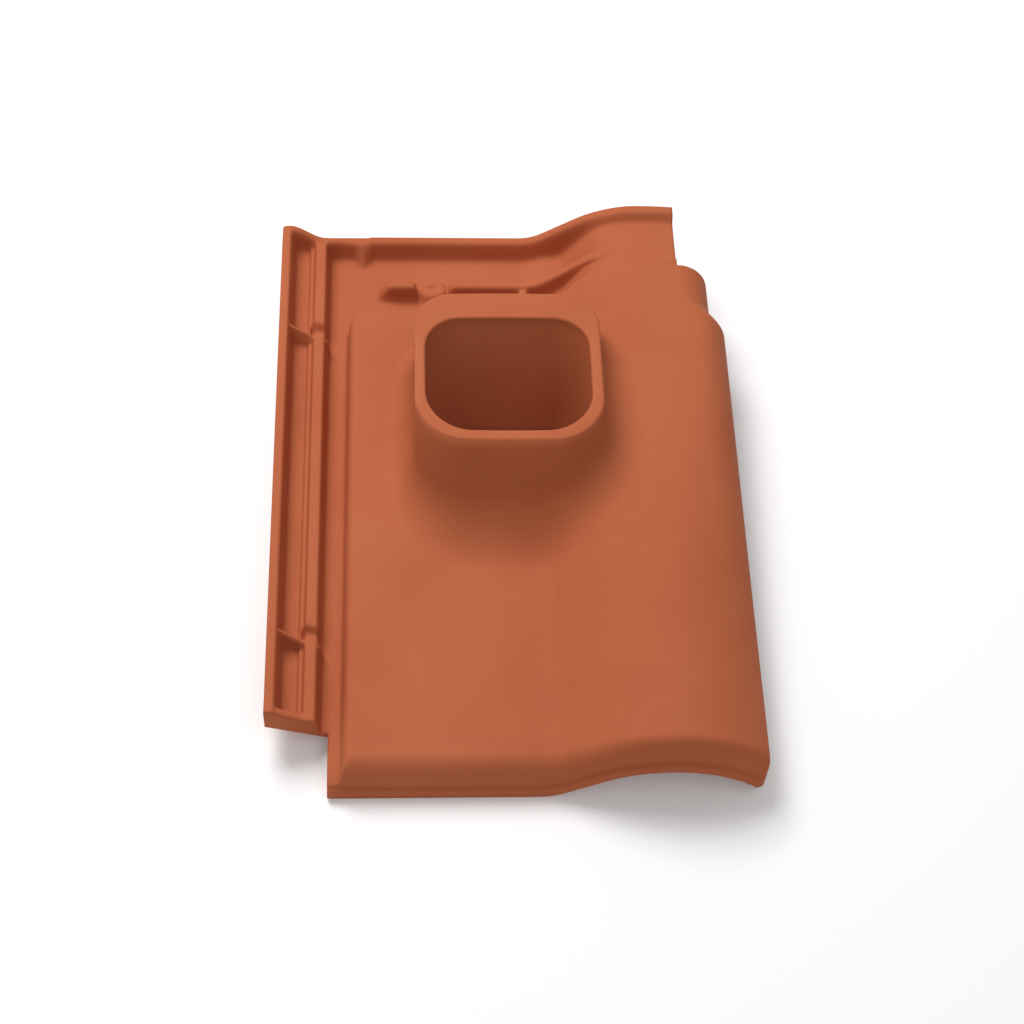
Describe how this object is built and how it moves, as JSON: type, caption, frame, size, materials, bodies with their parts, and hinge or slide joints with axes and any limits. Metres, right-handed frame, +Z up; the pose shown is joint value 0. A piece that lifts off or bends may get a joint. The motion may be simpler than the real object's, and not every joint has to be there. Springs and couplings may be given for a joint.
{
  "type": "socket roof tile",
  "caption": "Interlocking clay pantile with a roll, side lock and head lap, and a flared rounded-square socket standing on its pan as a vent or flue outlet.",
  "frame": {"origin": "centre of the bounding box's underside, on the floor the tile lies on", "axes": "+X across the tile from the side lock to the roll, +Y up the roof slope from the tail to the head, +Z up out of the roof. The tile lies on its tail's lower edge and its nibs, so its pan is about one degree off level."},
  "size_m": [0.258, 0.3606, 0.0826],
  "materials": {
    "clay": "matte fired red clay, unglazed"
  },
  "bodies": {
    "root": {"roof_tile": "clay"}
  },
  "joints": []
}
